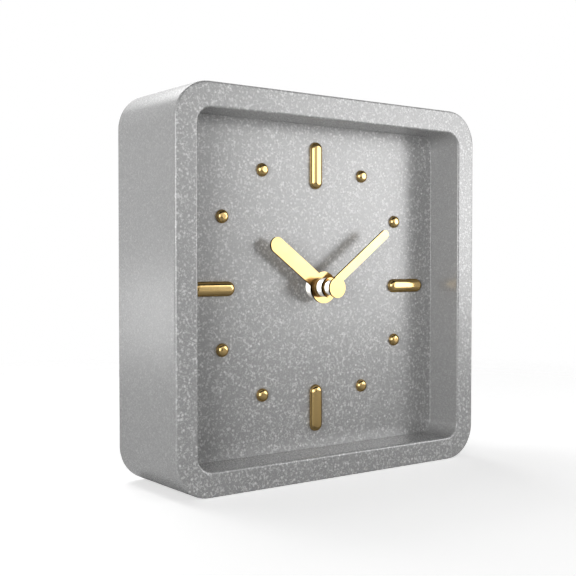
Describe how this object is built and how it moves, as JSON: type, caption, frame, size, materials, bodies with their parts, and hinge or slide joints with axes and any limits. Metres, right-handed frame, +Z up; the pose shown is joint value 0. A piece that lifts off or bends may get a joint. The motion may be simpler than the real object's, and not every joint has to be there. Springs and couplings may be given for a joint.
{
  "type": "desk clock",
  "caption": "Square desk clock with a rounded rim, deep-set dial, raised bar and dot markers, hour and minute hands, and a battery movement set by a knob at the back.",
  "frame": {"origin": "centre of the case's footprint on the surface that it stands on", "axes": "+Z up, +X to the right seen from the front, -Y towards the viewer, so the dial faces -Y"},
  "size_m": [0.125, 0.0364, 0.125],
  "materials": {
    "mineral_grey": "satin, fine pale flecks",
    "marker_brass": "polished",
    "hand_brass": "polished",
    "hub_nickel": "turned, nickel plated",
    "panel_plastic": "fine moulded texture",
    "knob_plastic": "satin",
    "housing_plastic": "satin",
    "wheel_plastic": "satin",
    "steel": "plated",
    "rubber": "matte",
    "core_steel": "stamped",
    "copper_wire": "enamelled",
    "bobbin_plastic": "satin",
    "board_green": "solder resist",
    "chip_black": "resin",
    "crystal_can": "drawn",
    "magnet": "sintered",
    "cell_jacket": "satin"
  },
  "bodies": {
    "case": {"case_shell": "mineral_grey", "dial_plate": "mineral_grey", "dial_screws": "steel", "dial_washer": "rubber", "mounting_bush": "hub_nickel", "movement_housing": "housing_plastic", "movement_lid": "housing_plastic", "movement_screws": "steel", "lid_screws": "steel", "stator_plate": "core_steel", "coil_core": "core_steel", "coil_bobbin": "bobbin_plastic", "coil_winding": "copper_wire", "stator_screws": "steel", "circuit_board": "board_green", "circuit_chip": "chip_black", "quartz_crystal": "crystal_can", "contact_positive": "steel", "contact_negative": "steel", "battery_cell": "cell_jacket", "back_panel": "panel_plastic", "back_panel_screws": "steel", "marker_bar_12": "marker_brass", "marker_bar_03": "marker_brass", "marker_bar_06": "marker_brass", "marker_bar_09": "marker_brass", "marker_dot_01": "marker_brass", "marker_dot_02": "marker_brass", "marker_dot_04": "marker_brass", "marker_dot_05": "marker_brass", "marker_dot_07": "marker_brass", "marker_dot_08": "marker_brass", "marker_dot_10": "marker_brass", "marker_dot_11": "marker_brass"},
    "minute_shaft": {"minute_arbor": "steel", "minute_hand": "hand_brass", "minute_hub": "hub_nickel", "minute_cap": "hand_brass"},
    "hour_shaft": {"hour_wheel": "wheel_plastic", "hour_hand": "hand_brass", "hour_collar": "hub_nickel"},
    "minute_wheel_set": {"minute_wheel": "wheel_plastic"},
    "setting_shaft": {"setting_arbor": "wheel_plastic", "setting_knob": "knob_plastic"},
    "centre_wheel_set": {"centre_wheel": "wheel_plastic"},
    "third_wheel_set": {"third_wheel": "wheel_plastic"},
    "seconds_wheel_set": {"seconds_wheel": "wheel_plastic"},
    "fifth_wheel_set": {"fifth_wheel": "wheel_plastic"},
    "rotor": {"rotor_pinion": "wheel_plastic", "rotor_magnet": "magnet"},
    "door": {"battery_door": "panel_plastic"}
  },
  "joints": [
    {"name": "minute_turn", "type": "hinge", "parent": "case", "child": "minute_shaft", "pos_m": [0, 0.00725, 0.0625], "axis": [0, 1, 0], "continuous": true},
    {"name": "hour_turn", "type": "hinge", "parent": "case", "child": "hour_shaft", "pos_m": [0, 0.00725, 0.0625], "axis": [0, 1, 0], "continuous": true},
    {"name": "minute_wheel_turn", "type": "hinge", "parent": "case", "child": "minute_wheel_set", "pos_m": [-0.012, 0.00725, 0.0625], "axis": [0, 1, 0], "continuous": true},
    {"name": "setting_turn", "type": "hinge", "parent": "case", "child": "setting_shaft", "pos_m": [-0.01875, 0.00725, 0.07419], "axis": [0, 1, 0], "continuous": true},
    {"name": "seconds_turn", "type": "hinge", "parent": "case", "child": "seconds_wheel_set", "pos_m": [0.0179, 0.00725, 0.07231], "axis": [0, 1, 0], "continuous": true},
    {"name": "third_turn", "type": "hinge", "parent": "case", "child": "third_wheel_set", "pos_m": [0.01134, 0.00725, 0.0645], "axis": [0, 1, 0], "continuous": true},
    {"name": "centre_turn", "type": "hinge", "parent": "case", "child": "centre_wheel_set", "pos_m": [0, 0.00725, 0.0625], "axis": [0, 1, 0], "continuous": true},
    {"name": "fifth_turn", "type": "hinge", "parent": "case", "child": "fifth_wheel_set", "pos_m": [0.01544, 0.00725, 0.07908], "axis": [0, 1, 0], "continuous": true},
    {"name": "rotor_turn", "type": "hinge", "parent": "case", "child": "rotor", "pos_m": [0.00844, 0.00725, 0.07908], "axis": [0, 1, 0], "continuous": true},
    {"name": "door_hinge", "type": "hinge", "parent": "case", "child": "door", "pos_m": [0, 0.0165, 0.05035], "axis": [1, 0, 0], "range_deg": [0, 95]}
  ],
  "couplings": [
    {"joint": "hour_turn", "follows": "minute_turn", "ratio": 0.083333},
    {"joint": "minute_wheel_turn", "follows": "minute_turn", "ratio": -0.33333},
    {"joint": "setting_turn", "follows": "minute_turn", "ratio": 0.66667},
    {"joint": "third_turn", "follows": "seconds_turn", "ratio": -0.13333},
    {"joint": "centre_turn", "follows": "seconds_turn", "ratio": 0.016667},
    {"joint": "fifth_turn", "follows": "seconds_turn", "ratio": -5},
    {"joint": "rotor_turn", "follows": "seconds_turn", "ratio": 30}
  ]
}
